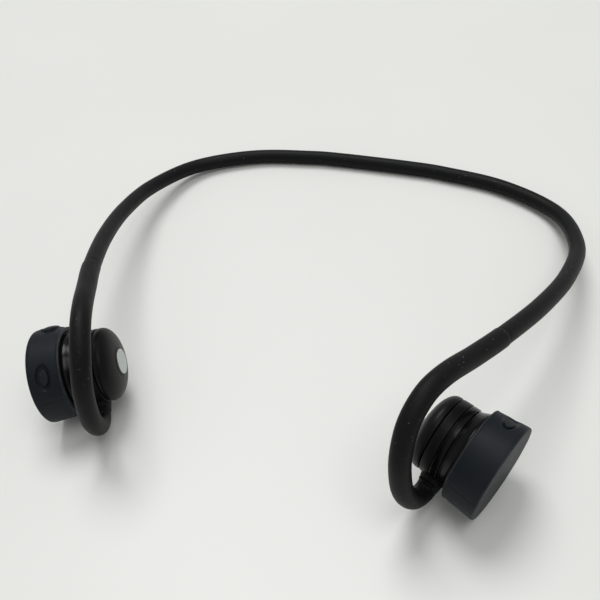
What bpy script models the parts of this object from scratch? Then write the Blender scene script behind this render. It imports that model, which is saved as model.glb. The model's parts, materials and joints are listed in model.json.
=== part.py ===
"""Bone conduction headphones with a nape band, two ear hooks and two round transducer pods.

Frame: X to the right as seen from the front, which is the wearer's left, Y to the back of the
head, Z up. Left and right are named as seen from the front too. The headphones lie as they are
put down: on the nape of the band and on the lowest points of the two pods. The origin is the
middle of the footprint. Sizes are in millimetres and become metres where a mesh is made.
"""
import math

import bmesh
import bpy
from mathutils import Matrix, Vector

MM = 0.001
SIDES = {"left": -1, "right": 1}

# Tubing: silicone over a sprung wire and a thin cable
BAND_DIAMETER = 5.7
HOOK_DIAMETER = 6.1
SLEEVE_BORE = 3.6
WIRE_DIAMETER = 1.0
WIRE_OFFSET = 0.65          # the wire and the cable lie side by side in the bore
FLEX_AT = 14.0              # from the middle of the nape to the axis the arm flexes about
FLEX_GAP = 0.9
SEAM_GAP = 0.3
BAND_STEP = 7.5             # length of one straight facet of the tubing
HOOK_STEP = 2.9
ROUTE_STEPS = 16            # how finely the route is worked out between two of its points

# The tubing's centre line on the right side, from the nape to the bend in front of the pod
BAND_ROUTE = [
    (0.0, 80.1, 2.9), (14.0, 80.0, 2.9), (27.0, 79.3, 2.9), (53.0, 74.4, 3.1), (74.7, 61.2, 4.4),
    (83.2, 37.8, 10.2), (81.3, 12.3, 18.7), (74.5, -12.4, 27.6), (64.9, -36.1, 36.1),
]
HOOK_ROUTE = [
    (58.9, -48.2, 40.1), (53.3, -59.0, 43.9), (49.6, -66.8, 44.4), (46.9, -74.0, 40.5),
    (46.0, -78.8, 33.0), (46.3, -80.4, 24.0), (47.2, -79.6, 16.5), (48.9, -76.3, 9.3),
    (50.7, -72.6, 6.6),
]

# Pods: distances along the pod's axis are counted from its outer face towards the head
POD_RADIUS = 14.8
POD_FACE = (71.3, -66.2)    # X and Y of the middle of the right pod's outer face
POD_TOE = 22.0              # degrees that the outer face is turned towards the front
POD_TILT = 7.5              # degrees that the outer face looks down
POD_SEGMENTS = 28
SMALL_SEGMENTS = 20
GAP = 0.3                   # clearance between neighbouring pieces

COVER_DEPTH = 10.2
COVER_WALL = 1.1
COVER_TAPER = 0.8           # the cover is this much narrower at its lip
COVER_ROUNDING = 1.2
HOUSING_WALL = 1.0
HOUSING_FLOOR = 1.2
SKIRT_RADIUS = 12.8
SKIRT_TOP = 13.7
COLLAR_RADIUS = 11.6
COLLAR_DEPTH = 2.1
RING_DEPTH = 2.55
NECK_RADIUS = 10.6
NECK_BORE = 9.8
DOME_RADIUS = 11.6
DOME_BOTTOM = 19.55
DOME_TOP = 25.05
DOME_WALL = 1.2
BADGE_RADIUS = 4.0
BADGE_TOP = 25.25

# Where the hook enters the collar
ENTRY_AT = 15.4
ENTRY_ANGLE = 133.0         # from straight up, turning to the front
ENTRY_RADIUS = 12.0         # the hook's end face, from the pod's axis
ENTRY_STRAIGHT = 2.0        # how far the hook runs straight before it
LEAD_END = 8.8              # the wire and the cable reach this far into the neck

# Controls on the rim
BUTTONS = {"left": 45.0, "right": -32.0}
FLAP_ANGLE = -42.0          # on the left pod, behind the top
CONTROL_AT = 4.9
BUTTON_OPENING = (4.5, 2.4)
BUTTON_FLOOR = (4.2, 2.1)
BUTTON_PAD = (2.5, 1.4)
FLAP_OPENING = (4.3, 2.8)
FLAP_SIZE = (4.0, 2.5)
SCREW_ANGLES = (90.0, 180.0, 270.0)
SCREW_CIRCLE = 10.9


def clear_scene():
    for obj in list(bpy.data.objects):
        bpy.data.objects.remove(obj, do_unlink=True)


def new_collection(name):
    collection = bpy.data.collections.new(name)
    bpy.context.scene.collection.children.link(collection)
    return collection


def plain_material(name, colour, roughness, metallic=0.0):
    material = bpy.data.materials.new(name)
    material.use_nodes = True
    shader = material.node_tree.nodes["Principled BSDF"]
    shader.inputs["Base Color"].default_value = (*colour, 1.0)
    shader.inputs["Roughness"].default_value = roughness
    shader.inputs["Metallic"].default_value = metallic
    return material


clear_scene()
PARTS = new_collection("bone_conduction_headphones")
CUTTERS = new_collection("cutters")
FINISHES = {
    "tube_silicone": ((0.010, 0.010, 0.011), 0.55, 0.0),
    "cover_silicone": ((0.016, 0.020, 0.026), 0.60, 0.0),
    "gloss_black": ((0.006, 0.006, 0.007), 0.18, 0.0),
    "satin_black": ((0.018, 0.019, 0.018), 0.38, 0.0),
    "badge_grey": ((0.52, 0.55, 0.54), 0.35, 0.0),
    "rubber": ((0.008, 0.008, 0.008), 0.80, 0.0),
    "spring_steel": ((0.55, 0.55, 0.56), 0.30, 1.0),
    "cable_jacket": ((0.12, 0.02, 0.02), 0.50, 0.0),
    "magnet": ((0.45, 0.45, 0.47), 0.25, 1.0),
    "copper": ((0.70, 0.28, 0.12), 0.30, 1.0),
    "board_green": ((0.01, 0.12, 0.05), 0.45, 0.0),
    "battery_foil": ((0.50, 0.52, 0.55), 0.35, 0.8),
    "socket_steel": ((0.60, 0.60, 0.62), 0.28, 1.0),
}


def add_part(name, data, finish, matrix=None):
    """Link a new object with its own material; its mesh or curve is already in metres."""
    obj = bpy.data.objects.new(name, data)
    PARTS.objects.link(obj)
    data.materials.append(plain_material(name, *FINISHES[finish]))
    if matrix is not None:
        obj.matrix_world = matrix
    return obj


def add_cutter(name, mesh, matrix):
    obj = bpy.data.objects.new(name, mesh)
    CUTTERS.objects.link(obj)
    obj.matrix_world = matrix
    obj.hide_render = True
    obj.display_type = "WIRE"
    return obj


def cut(obj, *cutters):
    for cutter in cutters:
        modifier = obj.modifiers.new(cutter.name, "BOOLEAN")
        modifier.operation = "DIFFERENCE"
        modifier.object = cutter


def unit(vector):
    return Vector(vector).normalized()


# ---------------------------------------------------------------- frames

def pod_axis(sign):
    """The direction a pod's outer face looks."""
    toe, tilt = math.radians(POD_TOE), math.radians(POD_TILT)
    flat = math.cos(tilt)
    return Vector((sign * flat * math.cos(toe), -flat * math.sin(toe), -math.sin(tilt)))


def pod_frame(sign):
    """Metres; origin in the outer face, +Z towards the head, +X up along the rim."""
    inward = -pod_axis(sign)
    up = unit(Vector((0, 0, 1)) - inward * inward.z)
    across = inward.cross(up)
    face_height = POD_RADIUS * math.cos(math.radians(POD_TILT))
    frame = Matrix((up, across, inward)).transposed().to_4x4()
    frame.translation = Vector((sign * POD_FACE[0], POD_FACE[1], face_height)) * MM
    return frame


def rim_frame(sign, angle, along):
    """A frame on the pod's axis whose +Z points out through the rim at this angle.

    The angle is counted from straight up, turning to the front. +X runs round the rim
    and +Y towards the pod's outer face.
    """
    turn = math.radians(angle) * -sign
    outward = Vector((math.cos(turn), math.sin(turn), 0))
    towards_face = Vector((0, 0, -1))
    round_rim = towards_face.cross(outward)
    frame = Matrix((round_rim, towards_face, outward)).transposed().to_4x4()
    frame.translation = Vector((0, 0, along)) * MM
    return pod_frame(sign) @ frame


def off_axis_frame(sign, angle, radius):
    """The pod's frame moved sideways, for screws parallel to its axis."""
    turn = math.radians(angle) * -sign
    shift = Vector((math.cos(turn), math.sin(turn), 0)) * radius * MM
    return pod_frame(sign) @ Matrix.Translation(shift)


# ---------------------------------------------------------------- routes

def smooth_route(points, steps=ROUTE_STEPS):
    """A smooth curve through the points; the first one is on the plane of symmetry."""
    points = [Vector(point) for point in points]
    before_first = Vector((-points[1].x, points[1].y, points[1].z))
    padded = [before_first] + points + [points[-1] * 2 - points[-2]]
    route = []
    for index in range(1, len(padded) - 2):
        previous, start, end, following = padded[index - 1:index + 3]
        span = (end - start).length
        leaving = (end - previous) * span / ((start - previous).length + span)
        arriving = (following - start) * span / (span + (following - end).length)
        for step in range(steps):
            t = step / steps
            route.append(start * (2 * t ** 3 - 3 * t ** 2 + 1) + leaving * (t ** 3 - 2 * t ** 2 + t)
                         + end * (3 * t ** 2 - 2 * t ** 3) + arriving * (t ** 3 - t ** 2))
    route.append(points[-1])
    return route


def lengths_along(route):
    lengths = [0.0]
    for a, b in zip(route, route[1:]):
        lengths.append(lengths[-1] + (b - a).length)
    return lengths


def point_at(route, lengths, distance):
    index = max(i for i in range(len(lengths) - 1) if lengths[i] <= distance or i == 0)
    span = lengths[index + 1] - lengths[index]
    return route[index].lerp(route[index + 1], (distance - lengths[index]) / span)


def stations(start, end, step):
    count = max(2, round((end - start) / step))
    return [start + (end - start) * i / count for i in range(count + 1)]


def side_directions(points):
    """One direction across the route at each point, carried along without twisting."""
    direction = Vector((0, 0, 1))
    directions = []
    for index in range(len(points)):
        tangent = unit(points[min(index + 1, len(points) - 1)] - points[max(index - 1, 0)])
        direction = unit(direction - tangent * direction.dot(tangent))
        directions.append(direction.copy())
    return directions


def mirrored(points, sign):
    return [Vector((point.x * sign, point.y, point.z)) for point in points]


# ---------------------------------------------------------------- shapes

def curve_through(name, points, radius, roundness, caps):
    curve = bpy.data.curves.new(name, "CURVE")
    curve.dimensions = "3D"
    curve.bevel_depth = radius * MM
    curve.bevel_resolution = roundness
    curve.use_fill_caps = caps
    spline = curve.splines.new("POLY")
    spline.points.add(len(points) - 1)
    for spline_point, point in zip(spline.points, points):
        spline_point.co = (*(point * MM), 1.0)
    return curve


def sleeve(name, points, diameter, finish):
    """A hollow tube, open at both ends."""
    curve = curve_through(name, points, diameter / 2, 2, caps=False)
    obj = add_part(name, curve, finish)
    wall = obj.modifiers.new("wall", "SOLIDIFY")
    wall.thickness = (diameter - SLEEVE_BORE) / 2 * MM
    wall.offset = -1.0
    wall.use_even_offset = True
    return obj


def strand(name, points, directions, offset, finish):
    """A solid wire beside the tube's centre line."""
    shifted = [point + direction * offset for point, direction in zip(points, directions)]
    return add_part(name, curve_through(name, shifted, WIRE_DIAMETER / 2, 0, caps=True), finish)


def turned_mesh(name, profile, closed):
    """The outline of a turned shape, as (radius, distance along the axis) pairs."""
    mesh = bpy.data.meshes.new(name)
    points = [(radius * MM, 0, along * MM) for radius, along in profile]
    edges = [(i, i + 1) for i in range(len(points) - 1)]
    if closed:
        edges.append((len(points) - 1, 0))
    mesh.from_pydata(points, edges, [])
    return mesh


def spin(obj, segments):
    screw = obj.modifiers.new("turn", "SCREW")
    screw.axis = "Z"
    screw.angle = 2 * math.pi
    screw.steps = segments
    screw.render_steps = segments
    screw.use_merge_vertices = True
    screw.merge_threshold = 0.00001
    screw.use_smooth_shade = True
    return obj


def turned(name, profile, finish, matrix, segments=POD_SEGMENTS, closed=False):
    """A turned piece. Its profile runs down the outer side, as seen with +Z up."""
    return spin(add_part(name, turned_mesh(name, profile, closed), finish, matrix), segments)


def turned_cutter(name, profile, matrix, segments=SMALL_SEGMENTS):
    return spin(add_cutter(name, turned_mesh(name, profile, closed=False), matrix), segments)


def ring(name, inner, outer, low, high, finish, matrix, segments=POD_SEGMENTS):
    profile = [(outer, high), (outer, low), (inner, low), (inner, high)]
    return turned(name, profile, finish, matrix, segments, closed=True)


def disc(name, radius, low, high, finish, matrix, segments=SMALL_SEGMENTS):
    edge = min(0.15, (high - low) / 3)
    profile = [(0, high), (radius - edge, high), (radius, high - edge), (radius, low), (0, low)]
    return turned(name, profile, finish, matrix, segments)


def raise_face(bm, face, height):
    """Extrude one face upwards and return the new one; only a lone face stays as a base."""
    is_base = len(bm.faces) == 1
    extruded = bmesh.ops.extrude_face_region(bm, geom=[face])["geom"]
    verts = [item for item in extruded if isinstance(item, bmesh.types.BMVert)]
    bmesh.ops.translate(bm, verts=verts, vec=(0, 0, height * MM))
    if not is_base:
        bmesh.ops.delete(bm, geom=[face], context="FACES_ONLY")
    return [item for item in extruded if isinstance(item, bmesh.types.BMFace)][0]


def oval_mesh(name, levels, segments=24):
    """Ovals stacked along +Z, as (half length, half width, height), lowest first."""
    mesh = bpy.data.meshes.new(name)
    bm = bmesh.new()
    length, width, height = levels[0]
    bmesh.ops.create_circle(bm, cap_ends=True, segments=segments, radius=1.0)
    bmesh.ops.scale(bm, verts=bm.verts, vec=(length * MM, width * MM, 1))
    bmesh.ops.translate(bm, verts=bm.verts, vec=(0, 0, height * MM))
    bm.faces.ensure_lookup_table()
    top = bm.faces[0]
    for next_length, next_width, next_height in levels[1:]:
        top = raise_face(bm, top, next_height - height)
        grow = (next_length / length, next_width / width, 1)
        bmesh.ops.scale(bm, verts=top.verts[:], vec=grow)
        length, width, height = next_length, next_width, next_height
    bmesh.ops.recalc_face_normals(bm, faces=bm.faces)
    bm.to_mesh(mesh)
    bm.free()
    return mesh


def box_mesh(name, size, low, pocket=None, peg=None):
    """A box that stands on the height `low`, with a pocket sunk in its top or a peg on it."""
    mesh = bpy.data.meshes.new(name)
    bm = bmesh.new()
    bmesh.ops.create_cube(bm, size=1.0)
    bmesh.ops.scale(bm, verts=bm.verts, vec=[length * MM for length in size])
    bmesh.ops.translate(bm, verts=bm.verts, vec=(0, 0, (low + size[2] / 2) * MM))
    top = max(bm.faces, key=lambda face: face.calc_center_median().z)
    inset, travel = pocket or peg
    bmesh.ops.inset_region(bm, faces=[top], thickness=inset * MM)
    raise_face(bm, top, travel)
    bm.to_mesh(mesh)
    bm.free()
    return mesh


# ---------------------------------------------------------------- band and hooks

def entry_points(sign):
    """The last stretch of the route: straight into the collar towards the pod's axis."""
    frame = rim_frame(sign, ENTRY_ANGLE, ENTRY_AT)
    radii = (ENTRY_RADIUS + ENTRY_STRAIGHT, ENTRY_RADIUS, LEAD_END)
    return [frame @ Vector((0, 0, radius * MM)) / MM for radius in radii]


def build_tubing():
    flex_route = smooth_route(BAND_ROUTE + HOOK_ROUTE + entry_points(1))
    lengths = lengths_along(flex_route)
    seam_at = lengths[ROUTE_STEPS * (len(BAND_ROUTE) - 1)]
    collar_at = lengths[-1] - (ENTRY_RADIUS - LEAD_END)

    half_nape = [point_at(flex_route, lengths, FLEX_AT - FLEX_GAP / 2)]
    nape = mirrored(half_nape, -1) + [flex_route[0]] + half_nape
    nape_sides = side_directions(nape)
    sleeve("nape_sleeve", nape, BAND_DIAMETER, "tube_silicone")
    strand("nape_spring_wire", nape, nape_sides, WIRE_OFFSET, "spring_steel")
    strand("nape_cable", nape, nape_sides, -WIRE_OFFSET, "cable_jacket")

    band = stations(FLEX_AT + FLEX_GAP / 2, seam_at - SEAM_GAP / 2, BAND_STEP)
    hook = stations(seam_at + SEAM_GAP / 2, collar_at, HOOK_STEP)
    for side, sign in SIDES.items():
        band_line = mirrored([point_at(flex_route, lengths, at) for at in band], sign)
        hook_line = mirrored([point_at(flex_route, lengths, at) for at in hook], sign)
        inner_line = band_line + hook_line + mirrored([flex_route[-1]], sign)
        across = side_directions(inner_line)
        sleeve(f"{side}_band_sleeve", band_line, BAND_DIAMETER, "tube_silicone")
        sleeve(f"{side}_hook_sleeve", hook_line, HOOK_DIAMETER, "tube_silicone")
        strand(f"{side}_spring_wire", inner_line, across, WIRE_OFFSET, "spring_steel")
        strand(f"{side}_cable", inner_line, across, -WIRE_OFFSET, "cable_jacket")


# ---------------------------------------------------------------- pods

def cover_radius(along):
    taper = COVER_TAPER * (along - COVER_ROUNDING) / (COVER_DEPTH - COVER_ROUNDING)
    return POD_RADIUS - max(taper, 0)


def cover_profile():
    rounding = [(POD_RADIUS - COVER_ROUNDING * (1 - math.cos(angle)),
                 COVER_ROUNDING * (1 - math.sin(angle)))
                for angle in (0, math.pi / 6, math.pi / 3, math.pi / 2)]
    inside = [(0, COVER_WALL), (cover_radius(0) - 1.5 * COVER_WALL, COVER_WALL),
              (cover_radius(2) - COVER_WALL, 2 * COVER_WALL - 0.5),
              (cover_radius(COVER_DEPTH) - COVER_WALL, COVER_DEPTH)]
    return inside + [(cover_radius(COVER_DEPTH), COVER_DEPTH)] + rounding + [(0, 0)]


def housing_profile():
    outer = COVER_WALL + GAP
    inner = outer + HOUSING_WALL
    low, high = COVER_WALL + GAP, COVER_DEPTH - 0.2
    return [(0, low + HOUSING_FLOOR), (cover_radius(low) - inner, low + HOUSING_FLOOR),
            (cover_radius(high) - inner, high), (cover_radius(high) - outer, high),
            (cover_radius(2) - outer, low + 0.7), (cover_radius(0) - outer - 0.8, low), (0, low)]


def neck_profile():
    low = COVER_DEPTH + 0.1
    top = ENTRY_AT + 3.2
    return [(NECK_RADIUS, top), (NECK_RADIUS, SKIRT_TOP + 0.1), (COLLAR_RADIUS - 0.3, SKIRT_TOP),
            (COLLAR_RADIUS - 0.15, 13.0), (12.0, 11.8), (12.45, 11.1), (SKIRT_RADIUS, 10.65),
            (SKIRT_RADIUS, low), (NECK_BORE, low), (NECK_BORE, top)]


def dome_profile():
    """A mushroom cap: a rounded rim, a crown flattened on top and a recess for the badge."""
    crown = []
    for index in range(6):
        angle = math.radians(14 * index)
        radius = DOME_RADIUS * math.cos(angle) ** 0.80
        height = (DOME_TOP - DOME_BOTTOM - 0.9) * math.sin(angle) ** 0.92
        crown.append((radius, DOME_BOTTOM + 0.9 + height))
    crown = [point for point in crown if point[0] > BADGE_RADIUS + 0.6]
    outside = [(BADGE_RADIUS + GAP, DOME_TOP - 0.05)] + crown[::-1] + [(DOME_RADIUS - 0.4, DOME_BOTTOM)]
    inside = [(radius - DOME_WALL, along - DOME_WALL) for radius, along in crown[1:]]
    recess_floor = DOME_TOP - 0.5
    return ([(0, recess_floor), (BADGE_RADIUS + GAP, recess_floor)] + outside
            + [(DOME_RADIUS - 1.4, DOME_BOTTOM)] + inside + [(0, DOME_TOP - 1.5)])


def build_shells(side, sign, frame, openings):
    cover = turned(f"{side}_silicone_cover", cover_profile(), "cover_silicone", frame)
    housing = turned(f"{side}_outer_housing", housing_profile(), "satin_black", frame)
    neck = turned(f"{side}_neck_housing", neck_profile(), "gloss_black", frame, closed=True)
    collar_low = SKIRT_TOP + GAP
    collar = ring(f"{side}_collar_band", NECK_RADIUS + GAP, COLLAR_RADIUS, collar_low,
                  collar_low + COLLAR_DEPTH, "gloss_black", frame)
    ring_low = collar_low + COLLAR_DEPTH + GAP
    base_ring = ring(f"{side}_dome_base_ring", NECK_RADIUS + GAP, COLLAR_RADIUS, ring_low,
                     ring_low + RING_DEPTH, "satin_black", frame)
    ring(f"{side}_suspension_ring", 8.3, NECK_BORE - GAP, 18.0, 18.6, "rubber", frame)

    cut(cover, *openings)
    cut(housing, *openings)
    entry = rim_frame(sign, ENTRY_ANGLE, ENTRY_AT)
    lead_hole = turned_cutter(f"{side}_lead_hole", [(0, 13), (1.65, 13), (1.65, 7), (0, 7)], entry, 16)
    cut(neck, lead_hole)
    cut(collar, lead_hole)
    cut(base_ring, lead_hole)
    socket_profile = [(3.55, 13.2), (3.7, 12.0), (3.35, 12.0), (3.35, 13.2)]
    turned(f"{side}_tube_socket", socket_profile, "rubber", entry, SMALL_SEGMENTS, closed=True)
    for number, angle in enumerate(SCREW_ANGLES, start=1):
        place = off_axis_frame(sign, angle, SCREW_CIRCLE)
        hole = [(0, 11.7), (0.85, 11.7), (0.85, 2.2), (1.5, 2.2), (1.5, 1.2), (0, 1.2)]
        cutter = turned_cutter(f"{side}_screw_hole_{number}", hole, place, 12)
        cut(housing, cutter)
        cut(neck, cutter)
        body = [(0, 11.4), (0.6, 11.2), (0.6, 1.95), (1.2, 1.95), (1.2, 1.55), (0, 1.55)]
        turned(f"{side}_housing_screw_{number}", body, "socket_steel", place, 12)


def build_transducer(side, frame):
    """The driver and the cap it shakes, which move together on the rubber ring."""
    turned(f"{side}_dome_cap", dome_profile(), "satin_black", frame)
    disc(f"{side}_dome_badge", BADGE_RADIUS, DOME_TOP - 0.2, BADGE_TOP, "badge_grey", frame, 24)
    yoke = [(0, 15.9), (6.8, 15.9), (6.8, 19.6), (8.0, 19.6), (8.0, 15.2), (7.6, 14.8), (0, 14.8)]
    turned(f"{side}_transducer_yoke", yoke, "socket_steel", frame, 24)
    disc(f"{side}_transducer_magnet", 4.6, 16.2, 19.0, "magnet", frame)
    ring(f"{side}_voice_coil", 5.0, 6.4, 16.8, 20.3, "copper", frame, SMALL_SEGMENTS)
    plate = [(0, 23.2), (2.4, 23.2), (2.4, 21.6), (8.0, 21.6), (8.0, 20.6), (0, 20.6)]
    turned(f"{side}_transducer_plate", plate, "socket_steel", frame, 24)


def control_cutter(name, opening, frame):
    return add_cutter(name, oval_mesh(name, [(*opening, 9.0), (*opening, 17.0)]), frame)


def build_pod(side, sign):
    frame = pod_frame(sign)
    button_frame = rim_frame(sign, BUTTONS[side], CONTROL_AT)
    openings = [control_cutter(f"{side}_button_opening", BUTTON_OPENING, button_frame)]
    if side == "left":
        flap_frame = rim_frame(sign, FLAP_ANGLE, CONTROL_AT)
        openings.append(control_cutter("left_port_opening", FLAP_OPENING, flap_frame))
    build_shells(side, sign, frame, openings)
    build_transducer(side, frame)

    surface = cover_radius(CONTROL_AT)
    levels = [(*BUTTON_FLOOR, surface - 2.0), (*BUTTON_FLOOR, surface - 0.8),
              (BUTTON_PAD[0] + 0.3, BUTTON_PAD[1] + 0.3, surface - 0.7),
              (*BUTTON_PAD, surface + 0.1), (BUTTON_PAD[0] - 0.4, BUTTON_PAD[1] - 0.4, surface + 0.2)]
    button = oval_mesh(f"{side}_button", levels)
    add_part(f"{side}_button", button, "cover_silicone", button_frame)
    switch = box_mesh(f"{side}_tact_switch", (3.2, 3.2, 1.2), 10.2, peg=(0.9, 0.5))
    add_part(f"{side}_tact_switch", switch, "socket_steel", button_frame)
    disc(f"{side}_circuit_board", 9.6, 8.3, 9.1, "board_green", frame)


def build_power():
    """The charging socket and its flap on the left pod, and the battery in the right one."""
    flap_frame = rim_frame(SIDES["left"], FLAP_ANGLE, CONTROL_AT)
    surface = cover_radius(CONTROL_AT)
    length, width = FLAP_SIZE
    levels = [(length - 0.2, width - 0.2, surface - 1.3), (length, width, surface - 1.1),
              (length, width, surface + 0.2), (length - 0.9, width - 0.9, surface + 0.75),
              (length - 2.0, width - 1.8, surface + 0.9)]
    add_part("left_port_flap", oval_mesh("left_port_flap", levels), "cover_silicone", flap_frame)
    socket = box_mesh("left_charging_socket", (7.0, 3.0, 6.4), 5.6, pocket=(0.35, -5.4))
    add_part("left_charging_socket", socket, "socket_steel", flap_frame)
    microphone = pod_frame(SIDES["left"]) @ Matrix.Translation((-4.5 * MM, 0, 0))
    disc("left_microphone", 2.0, 6.2, 7.9, "socket_steel", microphone, 12)
    disc("right_battery", 9.4, 3.0, 7.6, "battery_foil", pod_frame(SIDES["right"]), 24)


build_tubing()
for pod_side, pod_sign in SIDES.items():
    build_pod(pod_side, pod_sign)
build_power()
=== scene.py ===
"""Bone conduction headphones: matt silicone band and hooks, slate covers and black domed drivers."""

import json
import math

import bpy
from mathutils import Matrix, Vector


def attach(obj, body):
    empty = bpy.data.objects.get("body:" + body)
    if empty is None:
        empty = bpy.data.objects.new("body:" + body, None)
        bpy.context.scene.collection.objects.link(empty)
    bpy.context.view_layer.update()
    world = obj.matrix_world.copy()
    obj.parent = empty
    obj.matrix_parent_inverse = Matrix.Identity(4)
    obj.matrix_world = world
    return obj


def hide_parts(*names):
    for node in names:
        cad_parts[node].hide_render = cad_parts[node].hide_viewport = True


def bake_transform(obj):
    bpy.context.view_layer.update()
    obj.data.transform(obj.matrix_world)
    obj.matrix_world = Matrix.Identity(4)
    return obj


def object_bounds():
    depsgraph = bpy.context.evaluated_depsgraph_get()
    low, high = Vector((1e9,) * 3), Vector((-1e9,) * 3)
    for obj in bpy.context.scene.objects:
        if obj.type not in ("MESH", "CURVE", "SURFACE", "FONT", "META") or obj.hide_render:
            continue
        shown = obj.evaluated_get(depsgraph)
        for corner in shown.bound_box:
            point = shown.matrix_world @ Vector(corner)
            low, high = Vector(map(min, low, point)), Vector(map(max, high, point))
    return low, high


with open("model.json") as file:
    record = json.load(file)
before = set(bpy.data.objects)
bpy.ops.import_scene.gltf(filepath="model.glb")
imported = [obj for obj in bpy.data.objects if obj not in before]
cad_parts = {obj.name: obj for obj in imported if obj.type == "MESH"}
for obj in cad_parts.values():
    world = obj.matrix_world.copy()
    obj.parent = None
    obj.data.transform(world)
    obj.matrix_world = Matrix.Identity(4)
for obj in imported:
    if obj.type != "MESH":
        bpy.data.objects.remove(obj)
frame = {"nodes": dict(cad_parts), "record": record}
cad_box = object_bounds()
nodes = frame["nodes"]
mounts = {mount["name"]: mount for mount in frame["record"]["mounts"]}
mm = 0.001


# ================================================================ table, light and camera
# A pale laminate table top, lit by a wide soft light high on the back left and a pale room.
# The camera stands in front of the right pod and looks down at the band at 45 degrees.

class Signal:
    """One output socket of a finish. Arithmetic on it adds Math nodes to that finish."""

    def __init__(self, finish, socket):
        self.finish, self.socket = finish, socket

    def math(self, operation, *values):
        return self.finish.node("ShaderNodeMath", {"operation": operation}, dict(enumerate(values)))

    def __add__(self, other):
        return self.math("ADD", self, other)

    def __mul__(self, other):
        return self.math("MULTIPLY", self, other)

    def rise(self, low, high):
        """0 below `low`, 1 above `high` and a smooth slope between."""
        settings = {"interpolation_type": "SMOOTHSTEP"}
        limits = {"Value": self, "From Min": low, "From Max": high}
        return self.finish.node("ShaderNodeMapRange", settings, limits)


class Finish:
    """A Principled material with constants on its own sockets and patterns in Object space."""

    def __init__(self, name, colour, roughness, **constants):
        self.material = bpy.data.materials.new(name)
        self.material.use_nodes = True
        self.material.diffuse_color = (*colour, 1)
        self.tree = self.material.node_tree
        self.shader = self.tree.nodes["Principled BSDF"]
        self.colour, self.roughness = colour, roughness
        self.shader.inputs["Base Color"].default_value = (*colour, 1)
        self.shader.inputs["Roughness"].default_value = roughness
        for socket, value in constants.items():
            self.shader.inputs[socket.replace("_", " ")].default_value = value
        self.place = self.node("ShaderNodeTexCoord", output="Object")

    def node(self, kind, settings=None, inputs=None, output=0):
        """Add a node: first its settings, then the values or links of its sockets."""
        node = self.tree.nodes.new(kind)
        for name, value in (settings or {}).items():
            setattr(node, name, value)
        for name, value in (inputs or {}).items():
            if isinstance(value, Signal):
                self.tree.links.new(value.socket, node.inputs[name])
            else:
                node.inputs[name].default_value = value
        return Signal(self, node.outputs[output])

    def turn_to(self, place):
        """Measure the patterns in a piece's own frame."""
        moved = {"Vector": self.place, "Location": place.translation, "Rotation": place.to_euler()}
        self.place = self.node("ShaderNodeMapping", {"vector_type": "TEXTURE"}, moved)

    def stretch(self, *scale):
        """Draw the patterns out along an axis with a scale below 1."""
        return self.node("ShaderNodeMapping", None, {"Vector": self.place, "Scale": scale})

    def noise(self, size, detail=2.0, place=None):
        """Soft noise with blotches about `size` across."""
        inputs = {"Vector": place or self.place, "Scale": 1 / size, "Detail": detail}
        return self.node("ShaderNodeTexNoise", None, inputs)

    def along(self, axis):
        """How far a point lies along one axis of the frame."""
        return self.node("ShaderNodeSeparateXYZ", None, {"Vector": self.place}, axis)

    def from_axis(self):
        """How far a point lies from the frame's Z axis."""
        flat = self.node("ShaderNodeVectorMath", {"operation": "MULTIPLY"}, {0: self.place, 1: (1, 1, 0)})
        return self.node("ShaderNodeVectorMath", {"operation": "LENGTH"}, {0: flat}, "Value")

    def mix(self, share, colour_a, colour_b):
        """Colour a turns into colour b as the share goes from 0 to 1."""
        inputs = {"Factor": share}
        for name, colour in ((6, colour_a), (7, colour_b)):
            inputs[name] = colour if isinstance(colour, Signal) else (*colour, 1)
        return self.node("ShaderNodeMix", {"data_type": "RGBA"}, inputs, 2)

    def feed(self, socket, signal):
        self.tree.links.new(signal.socket, self.shader.inputs[socket])

    def bump(self, height, depth):
        """Relief of about `depth` metres."""
        self.feed("Normal", self.node("ShaderNodeBump", None, {"Height": height, "Distance": depth}))

    def mould(self, spread, tint, grain, depth, dust=0.0, dust_colour=(0.2, 0.2, 0.19)):
        """A moulded skin: patchy gloss, a slightly uneven colour, a fine grain and some dust."""
        patches = self.noise(11 * mm, 3)
        self.feed("Roughness", patches * (2 * spread) + (self.roughness - spread))
        paler = [channel * (1 + tint) for channel in self.colour]
        deeper = [channel * (1 - tint) for channel in self.colour]
        shade = self.mix(self.noise(3.5 * mm, 3), deeper, paler)
        if dust:
            shade = self.mix(self.noise(0.42 * mm, 0).rise(0.86 - dust, 0.88 - dust), shade, dust_colour)
        self.feed("Base Color", shade)
        self.bump(self.noise(grain, 2), depth)
        return shade


def paint(piece, finish):
    piece.data.materials.clear()
    piece.data.materials.append(finish.material)


table_finish = Finish("pale_laminate", (0.80, 0.80, 0.765), 0.45)
worn = table_finish.noise(90 * mm, 3)
table_finish.feed("Roughness", worn * 0.16 + 0.37)
table_finish.feed("Base Color", table_finish.mix(worn, (0.785, 0.79, 0.755), (0.815, 0.82, 0.785)))
table_finish.bump(table_finish.noise(0.6 * mm, 2), 0.008 * mm)
bpy.ops.object.select_all(action="DESELECT")
bpy.ops.mesh.primitive_plane_add(size=9.0, location=(0, 0, cad_box[0].z - 0.02 * mm))
table = bpy.context.object
table.name = "table_top"
bpy.ops.object.transform_apply()
paint(table, table_finish)


def add_light(name, size, power, place):
    """A round soft light that points at the origin."""
    bpy.ops.object.light_add(type="AREA", location=place)
    light = bpy.context.object
    light.name = name
    light.data.shape = "DISK"
    light.data.size = size
    light.data.energy = power
    light.rotation_euler = (-Vector(place)).to_track_quat("-Z", "Y").to_euler()


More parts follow.
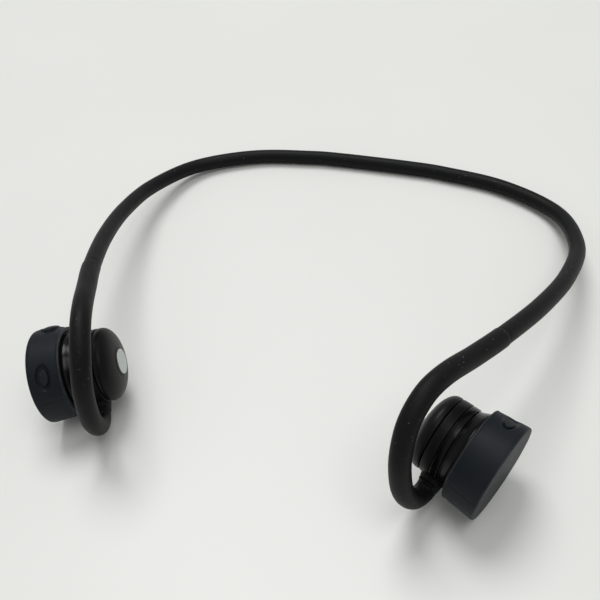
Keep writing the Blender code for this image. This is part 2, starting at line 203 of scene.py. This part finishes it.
add_light("window_light", 1.3, 28.0, (-0.55, 0.85, 2.2))
add_light("room_light", 1.4, 12.0, (0.60, -0.40, 2.2))
world = bpy.data.worlds.new("pale_room")
world.use_nodes = True
world.node_tree.nodes["Background"].inputs["Color"].default_value = (0.98, 0.99, 1.0, 1)
world.node_tree.nodes["Background"].inputs["Strength"].default_value = 0.38
bpy.context.scene.world = world
bpy.context.scene.view_settings.view_transform = "Standard"

CAMERA_PLACE = Vector((70.68, -193.79, 208.34)) * mm
CAMERA_RIGHT = Vector((0.9495, 0.3031, -0.0805))
CAMERA_UP = Vector((-0.1621, 0.6942, 0.7015))
bpy.ops.object.camera_add(location=CAMERA_PLACE)
camera = bpy.context.object
camera.name = "camera"
camera.data.lens = 48.78
camera.data.clip_start = 5 * mm
camera_back = CAMERA_RIGHT.cross(CAMERA_UP)
camera.rotation_euler = Matrix((CAMERA_RIGHT, CAMERA_UP, camera_back)).transposed().to_euler()
bpy.context.scene.camera = camera


# ================================================================ nape band
# One long matt silicone tube over a sprung wire and a thin cable, moulded round them. It is
# modelled as two halves that meet unseen behind the neck.

BAND_RADIUS = 2.85 * mm
SLEEVE_WALL = 1.0 * mm
BAND_ROUTE = [
    (0.0, 80.1, 2.9), (14.0, 80.0, 2.9), (27.0, 79.3, 2.9), (53.0, 74.4, 3.1), (74.7, 61.2, 4.4),
    (83.2, 37.8, 10.2), (81.3, 12.3, 18.7), (74.5, -12.4, 27.6), (64.9, -36.1, 36.1),
]
HOOK_ROUTE = [
    (58.9, -48.2, 40.1), (53.3, -59.0, 43.9), (49.6, -66.8, 44.4), (46.9, -74.0, 40.5),
    (46.0, -78.8, 33.0), (46.3, -80.4, 24.0), (47.2, -79.6, 16.5), (48.9, -76.3, 9.3),
    (50.7, -72.6, 6.6),
]
SIDES = {"left": -1, "right": 1}     # as seen from the front
ENTRY_AT = 15.4 * mm            # along the pod's axis, from its outer face
ENTRY_ANGLE = 133.0             # from the top of the rim, turning to the front
ENTRY_RADIUS = 12.0 * mm
SEAM = len(BAND_ROUTE) - 1

silicone = Finish("band_silicone", (0.0068, 0.0069, 0.0072), 0.50, Specular_IOR_Level=0.12)
silicone.mould(0.06, 0.16, 0.30 * mm, 0.020 * mm, dust=0.02)


def pod_place(side):
    """The pod's frame: origin in the outer face, +Z towards the head and +X up the rim."""
    inward = -Vector(mounts[f"{side}_outer_face"]["axis"])
    up = (Vector((0, 0, 1)) - inward * inward.z).normalized()
    place = Matrix((up, inward.cross(up), inward)).transposed().to_4x4()
    place.translation = Vector(mounts[f"{side}_outer_face"]["pos_m"])
    return place


def rim_place(side, angle, along):
    """A frame on the pod's axis whose +Z leaves through the rim and +Y looks to the outer face."""
    turn = -SIDES[side] * math.radians(angle)
    outward = Vector((math.cos(turn), math.sin(turn), 0))
    to_face = Vector((0, 0, -1))
    place = Matrix((to_face.cross(outward), to_face, outward)).transposed().to_4x4()
    place.translation = Vector((0, 0, along))
    return pod_place(side) @ place


def pick(piece):
    bpy.ops.object.select_all(action="DESELECT")
    piece.select_set(True)
    bpy.context.view_layer.objects.active = piece


def modify(piece, kind, **settings):
    """Add one modifier and apply it."""
    pick(piece)
    modifier = piece.modifiers.new(kind.lower(), kind)
    for name, value in settings.items():
        setattr(modifier, name, value)
    bpy.ops.object.modifier_apply(modifier=modifier.name)


def smooth(piece, angle=32):
    pick(piece)
    bpy.ops.object.shade_smooth_by_angle(angle=math.radians(angle))


def tube(name, points, before, after, radius, steps):
    """A hollow tube swept along a smooth curve through the points, open at both ends.

    `before` and `after` are the next points of the whole route, which set the ends' slopes.
    """
    bpy.ops.object.select_all(action="DESELECT")
    bpy.ops.curve.primitive_bezier_curve_add()
    piece = bpy.context.object
    piece.name = name
    curve = piece.data
    curve.resolution_u = curve.render_resolution_u = steps
    curve.bevel_depth = radius
    curve.bevel_resolution = 14
    curve.use_fill_caps = False
    knots = curve.splines[0].bezier_points
    knots.add(len(points) - 2)
    padded = [before] + points + [after]
    for knot, last, here, following in zip(knots, padded, padded[1:], padded[2:]):
        knot.handle_left_type = knot.handle_right_type = "FREE"
        span_in, span_out = (here - last).length, (following - here).length
        slope = (following - last) / (span_in + span_out)
        knot.co = here
        knot.handle_left = here - slope * span_in / 3
        knot.handle_right = here + slope * span_out / 3
    bpy.ops.object.convert(target="MESH")
    piece = bpy.context.object
    modify(piece, "SOLIDIFY", thickness=SLEEVE_WALL, offset=-1.0)
    return piece


def round_end(piece, end, reach=5 * mm, rounding=0.20 * mm):
    """Round the cut edges of a tube near one end."""
    pick(piece)
    bpy.ops.object.mode_set(mode="EDIT")
    bpy.ops.mesh.select_mode(type="EDGE")
    bpy.ops.mesh.select_all(action="DESELECT")
    bpy.ops.mesh.edges_select_sharp(sharpness=math.radians(60))
    bpy.ops.object.mode_set(mode="OBJECT")
    for edge in piece.data.edges:
        middle = sum((piece.data.vertices[index].co for index in edge.vertices), Vector()) / 2
        if (middle - end).length > reach:
            edge.select = False
    bpy.ops.object.mode_set(mode="EDIT")
    bpy.ops.mesh.bevel(offset=rounding, segments=3, clamp_overlap=True)
    bpy.ops.object.mode_set(mode="OBJECT")


routes = {}
for side, sign in SIDES.items():
    entry = rim_place(side, ENTRY_ANGLE, ENTRY_AT)
    routes[side] = [Vector((x * sign, y, z)) * mm for x, y, z in BAND_ROUTE + HOOK_ROUTE]
    routes[side] += [entry @ Vector((0, 0, radius)) for radius in (14 * mm, ENTRY_RADIUS, 8.8 * mm)]
    route = routes[side]
    across = Vector((-route[1].x, route[1].y, route[1].z))
    band = tube(f"{side}_band_tube", route[:SEAM + 1], across, route[SEAM + 1], BAND_RADIUS, 14)
    round_end(band, route[SEAM])
    smooth(band)
    paint(band, silicone)
    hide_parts(f"{side}_band_sleeve", "nape_sleeve")
    outward = Vector((sign * mm, 0, 0))
    route[1] - 4 * outward
    route[1] + 16 * outward
    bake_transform(band)


# ================================================================ ear hooks
# A slightly thicker matt sleeve that arches over the ear and drops to the pod, butted against
# the band's sleeve at a fine seam. A flared rubber boot joins its end to the pod's collar.

HOOK_RADIUS = 3.05 * mm
SEAM_GAP = 0.30 * mm

boot_rubber = Finish("boot_rubber", (0.0060, 0.0060, 0.0064), 0.55, Specular_IOR_Level=0.12)
boot_rubber.mould(0.05, 0.12, 0.22 * mm, 0.02 * mm)


def outline(*corners, steps=5):
    """A closed outline of (radius, height, rounding) corners in millimetres, as metres."""
    points = []
    for before, corner, after in zip(corners[-1:] + corners[:-1], corners, corners[1:] + corners[:1]):
        here = Vector(corner[:2])
        if not corner[2]:
            points.append(here * mm)
            continue
        enter = here + (Vector(before[:2]) - here).normalized() * corner[2]
        leave = here + (Vector(after[:2]) - here).normalized() * corner[2]
        for step in range(steps + 1):
            part = step / steps
            points.append((enter.lerp(here, part)).lerp(here.lerp(leave, part), part) * mm)
    return points


def turned(name, points, steps=128, closed=False):
    """Spin an outline of (radius, height) points about +Z. A closed outline makes a ring."""
    bpy.ops.object.select_all(action="DESELECT")
    bpy.ops.mesh.primitive_plane_add(size=mm)
    piece = bpy.context.object
    piece.name = name
    bpy.ops.object.mode_set(mode="EDIT")
    bpy.ops.mesh.select_mode(type="VERT")
    bpy.ops.mesh.select_all(action="SELECT")
    bpy.ops.mesh.merge(type="CENTER")
    bpy.ops.transform.translate(value=(points[0].x, 0, points[0].y))
    path = points[1:] + points[:1] if closed else points[1:]
    for last, here in zip(points, path):
        step = (here.x - last.x, 0, here.y - last.y)
        bpy.ops.mesh.extrude_vertices_move(TRANSFORM_OT_translate={"value": step})
    bpy.ops.mesh.select_all(action="SELECT")
    bpy.ops.mesh.remove_doubles(threshold=0.001 * mm)
    bpy.ops.mesh.spin(steps=steps, angle=math.tau, center=(0, 0, 0), axis=(0, 0, 1))
    bpy.ops.mesh.select_all(action="SELECT")
    bpy.ops.mesh.remove_doubles(threshold=0.002 * mm)
    bpy.ops.mesh.normals_make_consistent(inside=False)
    bpy.ops.object.mode_set(mode="OBJECT")
    return piece


def seat(piece, place):
    """Put a piece in its place and leave its object at the origin."""
    pick(piece)
    piece.matrix_world = place
    bpy.ops.object.transform_apply(location=True, rotation=True, scale=True)


for side in SIDES:
    route = routes[side]
    forward = (route[SEAM + 1] - route[SEAM - 1]).normalized()
    points = [route[SEAM] + forward * SEAM_GAP] + route[SEAM + 1:-1]
    hook = tube(f"{side}_ear_hook", points, route[SEAM - 1], route[-1], HOOK_RADIUS, 10)
    round_end(hook, route[SEAM])
    smooth(hook)
    paint(hook, silicone)
    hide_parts(f"{side}_hook_sleeve")
    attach(hook, f"{side}_arm")
    boot = turned(f"{side}_hook_boot", outline(
        (0.9, 10.2, 0), (3.78, 10.2, 0.3), (3.70, 12.0, 0.9), (3.30, 13.4, 0.9), (3.10, 14.9, 0.05),
        (3.0, 14.9, 0), (3.0, 12.4, 0), (0.9, 12.4, 0)), 96, closed=True)
    seat(boot, rim_place(side, ENTRY_ANGLE, ENTRY_AT))
    smooth(boot)
    paint(boot, boot_rubber)
    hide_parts(f"{side}_tube_socket")
    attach(boot, f"{side}_arm")


# ================================================================ silicone covers
# A slate blue-grey silicone cup stretched over each pod's outer shell. Its rim is moulded with a
# shallow oval dish round the key, the left one has an opening for the charging lid as well.

POD_RADIUS = 14.8
COVER_DEPTH = 10.2
COVER_WALL = 1.1
COVER_TAPER = 0.8               # how much narrower the rim is at its lip
CORNER = 1.2                    # where the rim starts to taper
ROUNDING = 0.45
CONTROL_AT = 4.9                # along the pod's axis, from its outer face
KEY_ANGLES = {"left": 45.0, "right": -32.0}
LID_ANGLE = -42.0
DISH_ANGLES = {"left": 45.0, "right": -38.0}
DISHES = {"left": (4.5, 2.4), "right": (6.3, 2.4)}      # half length and half width
DISH_DEPTH = 0.82
DISH_EDGE = 0.5                 # how wide the slope round the dish is
KEY_HOLE = (2.66, 1.54)
LID_HOLE = (4.3, 2.8)
LID_SWELL = (0.6, 0.34)         # how far past the opening, as a share of it, and how high
HINGE_FADE = 3.0                # the swell dies away over this length towards the lid's hinge
MOULD_LINE_ANGLE = 76.0
MOULD_LINE = (0.10, 0.32)       # depth and width
THROUGH_RIM = (11, 16)          # from the pod's axis


def cover_radius(along):
    return POD_RADIUS - max(COVER_TAPER * (along - CORNER) / (COVER_DEPTH - CORNER), 0)


def oval_cutter(size, place, low, high):
    """A straight oval block that cuts an opening through the rim."""
    bpy.ops.object.select_all(action="DESELECT")
    bpy.ops.mesh.primitive_cylinder_add(vertices=64, radius=mm, depth=(high - low) * mm)
    cutter = bpy.context.object
    seat(cutter, Matrix.Translation((0, 0, (high + low) / 2 * mm)) @ Matrix.Diagonal((*size, 1, 1)))
    seat(cutter, place)
    return cutter


def cut(piece, cutter):
    modify(piece, "BOOLEAN", object=cutter, operation="DIFFERENCE", solver="EXACT")
    bpy.data.objects.remove(cutter)


rim_rows = [CORNER + (COVER_DEPTH - 0.75 - CORNER) * row / 30 for row in range(31)]
cover_outline = [Vector((0, 0))]
cover_outline += [Vector(((POD_RADIUS - ROUNDING) * row / 8, 0)) for row in range(1, 9)]
for step in range(1, 7):
    angle = math.pi / 2 * step / 6
    cover_outline.append(Vector((POD_RADIUS - ROUNDING * (1 - math.sin(angle)),
                                 ROUNDING * (1 - math.cos(angle)))))
cover_outline += [Vector((cover_radius(along), along)) for along in rim_rows]
lip = cover_radius(COVER_DEPTH)
cover_outline += [Vector(point) for point in (
    (lip + 0.10, COVER_DEPTH - 0.62), (lip + 0.13, COVER_DEPTH - 0.42), (lip + 0.10, COVER_DEPTH - 0.2),
    (lip - 0.02, COVER_DEPTH - 0.05), (lip - 0.25, COVER_DEPTH), (lip - 0.85, COVER_DEPTH),
    (lip - 1.05, COVER_DEPTH - 0.15), (cover_radius(8) - COVER_WALL, 8.0),
    (cover_radius(2) - COVER_WALL, 2.2), (12.7, COVER_WALL), (8.0, COVER_WALL), (0, COVER_WALL))]
cover_outline = [point * mm for point in cover_outline]

for side, sign in SIDES.items():
    place = pod_place(side)
    cover = turned(f"{side}_slate_cover", cover_outline, 320)
    dish = DISHES[side]
    dish_turn = -sign * math.radians(DISH_ANGLES[side])
    line_turn = -sign * math.radians(MOULD_LINE_ANGLE)
    lid_turn = -sign * math.radians(LID_ANGLE)
    for vertex in cover.data.vertices:
        along = vertex.co.z / mm
        radius = vertex.co.xy.length / mm
        if radius < cover_radius(along) - 0.4 or not 0.3 < along < COVER_DEPTH - 0.5:
            continue
        turn = math.atan2(vertex.co.y, vertex.co.x)
        off_dish = math.remainder(turn - dish_turn, math.tau) * radius
        off_line = math.remainder(turn - line_turn, math.tau) * radius
        inside = 1 - math.hypot(off_dish / dish[0], (along - CONTROL_AT) / dish[1])
        depth = min(max(inside * dish[1] / DISH_EDGE, 0), 1)
        depth = DISH_DEPTH * depth * depth * (3 - 2 * depth)
        depth += MOULD_LINE[0] * math.exp(-(off_line / MOULD_LINE[1]) ** 2)
        if side == "left":
            off_lid = math.remainder(turn - lid_turn, math.tau) * radius
            beyond = math.hypot(off_lid / LID_HOLE[0], (along - CONTROL_AT) / LID_HOLE[1]) - 1
            swell = 1 - min(max(beyond / LID_SWELL[0], 0), 1)
            clear_of_hinge = 1 - min(max(off_lid / HINGE_FADE, 0), 1)
            depth -= LID_SWELL[1] * clear_of_hinge * swell * swell * (3 - 2 * swell)
        vertex.co.xy *= 1 - depth / radius
    seat(cover, place)
    cut(cover, oval_cutter(KEY_HOLE, rim_place(side, KEY_ANGLES[side], CONTROL_AT * mm), *THROUGH_RIM))
    if side == "left":
        cut(cover, oval_cutter(LID_HOLE, rim_place(side, LID_ANGLE, CONTROL_AT * mm), *THROUGH_RIM))
    smooth(cover, 38)
    slate = Finish(f"{side}_slate_silicone", (0.0078, 0.0105, 0.0140), 0.52, Specular_IOR_Level=0.16)
    slate.turn_to(place)
    shade = slate.mould(0.06, 0.12, 0.26 * mm, 0.018 * mm)
    # The lip and the corner of the outer face are painted paler. This is partly rubbed wear and partly a
    # painted highlight where these edges catch the light.
    lip_wear_and_highlight = slate.along(2).rise((COVER_DEPTH - 0.5) * mm, (COVER_DEPTH - 0.15) * mm)
    patchy = slate.noise(2.5 * mm, 3).rise(0.3, 0.7) * 0.5 + 0.3
    edge_wear_and_highlight = slate.along(2).rise(0.55 * mm, 0.12 * mm) * slate.from_axis().rise(14.2 * mm, 14.5 * mm)
    shade = slate.mix(lip_wear_and_highlight * patchy, shade, (0.055, 0.062, 0.070))
    slate.feed("Base Color", slate.mix(edge_wear_and_highlight * patchy, shade, (0.040, 0.045, 0.050)))
    paint(cover, slate)
    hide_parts(f"{side}_silicone_cover")
    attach(cover, f"{side}_arm")


# ================================================================ keys and charging lid
# Each key is an oval silicone pad that stands up through the dish and presses a tact switch. The
# lid is a crowned oval plug on a live hinge at its front end.

key_silicone = Finish("key_silicone", (0.0110, 0.0145, 0.0190), 0.50, Specular_IOR_Level=0.16)
key_silicone.mould(0.05, 0.12, 0.24 * mm, 0.016 * mm, dust=0.03)
surface = cover_radius(CONTROL_AT)
KEY_STRETCH = 1.79              # length over width
LID_STRETCH = 1.58

for side in SIDES:
    key = turned(f"{side}_key_pad", outline(
        (0, -2.0, 0), (2.05, -2.0, 0.15), (2.05, -1.5, 0.1), (1.4, -1.5, 0), (1.4, -0.38, 0.22),
        (0.6, -0.22, 0.3), (0, -0.2, 0)), 96)
    place = rim_place(side, KEY_ANGLES[side], CONTROL_AT * mm)
    seat(key, Matrix.Translation((0, 0, surface * mm)) @ Matrix.Diagonal((KEY_STRETCH, 1, 1, 1)))
    seat(key, place)
    smooth(key)
    paint(key, key_silicone)
    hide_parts(f"{side}_button")
    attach(key, f"{side}_button_key")

lid = turned("left_charging_lid", outline(
    (0, -1.3, 0), (2.3, -1.3, 0.2), (2.5, -1.0, 0.2), (2.53, 0.2, 0.25), (2.1, 0.60, 0.4),
    (0.9, 0.88, 0.6), (0, 0.9, 0)), 128)
seat(lid, Matrix.Translation((0, 0, surface * mm)) @ Matrix.Diagonal((LID_STRETCH, 1, 1, 1)))
seat(lid, rim_place("left", LID_ANGLE, CONTROL_AT * mm))
smooth(lid)
paint(lid, key_silicone)
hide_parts("left_port_flap")
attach(lid, "left_flap")


# ================================================================ neck, collar and base ring
# The glossy neck flares down to the cover's lip. Round it sit a moulded collar band with short
# raised index ticks and a satin ring that carries the dome, all screwed to the outer shell.

gloss = Finish("gloss_black_moulding", (0.0026, 0.0027, 0.0031), 0.22, Specular_IOR_Level=0.22)
gloss.mould(0.05, 0.10, 0.9 * mm, 0.004 * mm)
satin = Finish("satin_black_moulding", (0.0058, 0.0061, 0.0060), 0.38, Specular_IOR_Level=0.14)
satin.mould(0.06, 0.10, 0.16 * mm, 0.008 * mm)
TICKS = range(-5, 6)
TICK_SPACING = 4.0              # degrees
TICK_MIDDLE = 42.0              # degrees from the top, turning to the front

for side, sign in SIDES.items():
    place = pod_place(side)
    neck = turned(f"{side}_neck_skirt", outline(
        (9.85, 19.9, 0), (9.85, 18.62, 0), (10.6, 18.6, 0), (10.6, 13.85, 0), (11.25, 13.7, 0.15),
        (11.42, 13.0, 0.4), (11.75, 12.2, 0.4), (12.1, 11.45, 0.3), (12.3, 10.9, 0.15),
        (12.3, 10.15, 0), (9.8, 10.15, 0), (9.8, 18.6, 0), (9.6, 18.62, 0), (9.6, 19.9, 0),
        steps=6), 128, closed=True)
    collar = turned(f"{side}_collar_ring", outline(
        (10.9, 14.0, 0), (11.6, 14.0, 0.2), (11.6, 16.1, 0.2), (10.9, 16.1, 0)), 128, closed=True)
    tick_turn = -sign * math.radians(TICK_MIDDLE)
    for tick in TICKS:
        bpy.ops.object.select_all(action="DESELECT")
        bpy.ops.mesh.primitive_cube_add(size=mm)
        bar = bpy.context.object
        bar.scale = (0.16, 0.22, 1.1 if tick % 5 == 0 else 0.7)
        bpy.ops.object.transform_apply(scale=True)
        modify(bar, "BEVEL", width=0.05 * mm, segments=2)
        turn = Matrix.Rotation(tick_turn + math.radians(tick * TICK_SPACING), 4, "Z")
        seat(bar, turn @ Matrix.Translation((11.62 * mm, 0, 15.05 * mm)))
        pick(collar)
        bar.select_set(True)
        bpy.ops.object.join()
    base_ring = turned(f"{side}_dome_base", outline(
        (10.9, 16.4, 0), (11.62, 16.4, 0.2), (11.62, 19.18, 0.2), (10.9, 19.18, 0)), 128, closed=True)
    for piece, finish, slot, node in (
            (neck, gloss, "gloss_black", "neck_housing"), (collar, gloss, "gloss_black", "collar_band"),
            (base_ring, satin, "satin_black", "dome_base_ring")):
        seat(piece, place)
        smooth(piece)
        paint(piece, finish)
        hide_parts(f"{side}_{node}")
        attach(piece, f"{side}_arm")


# ================================================================ domes and skin badges
# The driver's satin cap is a mushroom with a rounded rim and a crown flattened for the skin. A
# thin grey metallised disc is glued in a recess at the middle of the crown.

DOME_RADIUS = 11.6
DOME_BOTTOM = 19.55
DOME_TOP = 25.05
BADGE_RADIUS = 4.0
BADGE_BOTTOM = 24.85
BADGE_TOP = 25.25

dome_outline = [Vector((0, DOME_TOP - 0.5)), Vector((BADGE_RADIUS + 0.16, DOME_TOP - 0.5)),
                Vector((BADGE_RADIUS + 0.18, DOME_TOP - 0.08)), Vector((BADGE_RADIUS + 0.3, DOME_TOP - 0.02))]
for step in range(27, -1, -1):
    turn = math.radians(2.6 * step)
    radius = DOME_RADIUS * math.cos(turn) ** 0.80
    height = (DOME_TOP - DOME_BOTTOM - 0.9) * math.sin(turn) ** 0.92
    if radius > BADGE_RADIUS + 0.5:
        dome_outline.append(Vector((radius, DOME_BOTTOM + 0.9 + height)))
dome_outline += [Vector(point) for point in (
    (DOME_RADIUS - 0.03, DOME_BOTTOM + 0.5), (DOME_RADIUS - 0.16, DOME_BOTTOM + 0.15),
    (DOME_RADIUS - 0.4, DOME_BOTTOM), (DOME_RADIUS - 1.4, DOME_BOTTOM), (9.9, DOME_BOTTOM + 1.4),
    (8.4, DOME_BOTTOM + 2.6), (5.0, DOME_TOP - 1.6), (0, DOME_TOP - 1.6))]
dome_outline = [point * mm for point in dome_outline]

for side in SIDES:
    place = pod_place(side)
    dome = turned(f"{side}_driver_dome", dome_outline, 160)
    badge = turned(f"{side}_skin_badge", outline(
        (0, BADGE_BOTTOM, 0), (BADGE_RADIUS, BADGE_BOTTOM, 0), (BADGE_RADIUS, BADGE_TOP, 0.14),
        (0, BADGE_TOP, 0)), 96)
    silver = Finish(f"{side}_badge_grey", (0.50, 0.53, 0.52), 0.34, Metallic=0.55)
    silver.turn_to(place)
    rings = silver.noise(0.25 * mm, 3, silver.stretch(1, 1, 0.02))
    silver.feed("Roughness", rings * 0.16 + 0.26)
    silver.feed("Base Color", silver.mix(silver.noise(2.2 * mm, 2), (0.47, 0.50, 0.49), (0.54, 0.57, 0.56)))
    silver.bump(rings, 0.004 * mm)
    for piece, finish, slot, node in (
            (dome, satin, "satin_black", "dome_cap"), (badge, silver, "badge_grey", "dome_badge")):
        seat(piece, place)
        smooth(piece)
        paint(piece, finish)
        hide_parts(f"{side}_{node}")
        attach(piece, f"{side}_driver")


# ================================================================ parts inside the pods and band
# The frame's own solids: moulded shells, sprung wire, cable, screws, the driver's magnet, coil
# and steel, the circuit board with its switch and socket, and the foil battery pouch.

def metal(name, colour, roughness, size, scale, spread=0.12):
    """Drawn or machined metal: fine streaks in its gloss and a slightly uneven colour."""
    finish = Finish(name, colour, roughness, Metallic=1.0)
    streaks = finish.noise(size, 3, finish.stretch(*scale))
    finish.feed("Roughness", streaks * (2 * spread) + (roughness - spread))
    deeper = [channel * 0.8 for channel in colour]
    finish.feed("Base Color", finish.mix(finish.noise(3 * mm, 3), deeper, colour))
    finish.bump(streaks, 0.01 * mm)
    return finish


spring = metal("spring_steel_wire", (0.42, 0.43, 0.45), 0.30, 0.3 * mm, (1, 0.2, 1))
pressed = metal("pressed_steel", (0.50, 0.51, 0.52), 0.36, 0.5 * mm, (1, 1, 0.3))
nickel = metal("nickel_magnet", (0.58, 0.57, 0.54), 0.22, 0.8 * mm, (1, 1, 1), 0.06)
coil = metal("enamelled_copper_coil", (0.62, 0.24, 0.10), 0.38, 0.22 * mm, (0.1, 0.1, 1))
foil = metal("battery_pouch_foil", (0.55, 0.56, 0.57), 0.34, 2.2 * mm, (1, 1, 0.4), 0.10)
jacket = Finish("cable_jacket", (0.12, 0.020, 0.020), 0.45)
jacket.mould(0.05, 0.14, 0.3 * mm, 0.01 * mm)
board = Finish("board_solder_mask", (0.012, 0.075, 0.030), 0.34, Coat_Weight=0.4)
copper_under = board.noise(1.6 * mm, 1).rise(0.52, 0.56)
board.feed("Base Color", board.mix(copper_under, (0.010, 0.060, 0.024), (0.022, 0.120, 0.045)))
board.bump(copper_under, 0.03 * mm)
ring_rubber = Finish("suspension_rubber", (0.0100, 0.0100, 0.0105), 0.75)
ring_rubber.mould(0.06, 0.15, 0.3 * mm, 0.02 * mm)

INNER_FINISHES = {
    "spring_wire": spring, "cable": jacket, "outer_housing": satin, "suspension_ring": ring_rubber,
    "housing_screw_1": pressed, "housing_screw_2": pressed, "housing_screw_3": pressed,
    "transducer_yoke": pressed, "transducer_magnet": nickel, "voice_coil": coil,
    "transducer_plate": pressed, "tact_switch": pressed, "circuit_board": board,
    "charging_socket": pressed, "microphone": pressed, "battery": foil,
}
for name, node in nodes.items():
    for ending, finish in INNER_FINISHES.items():
        if name.endswith(ending):
            paint(node, finish)
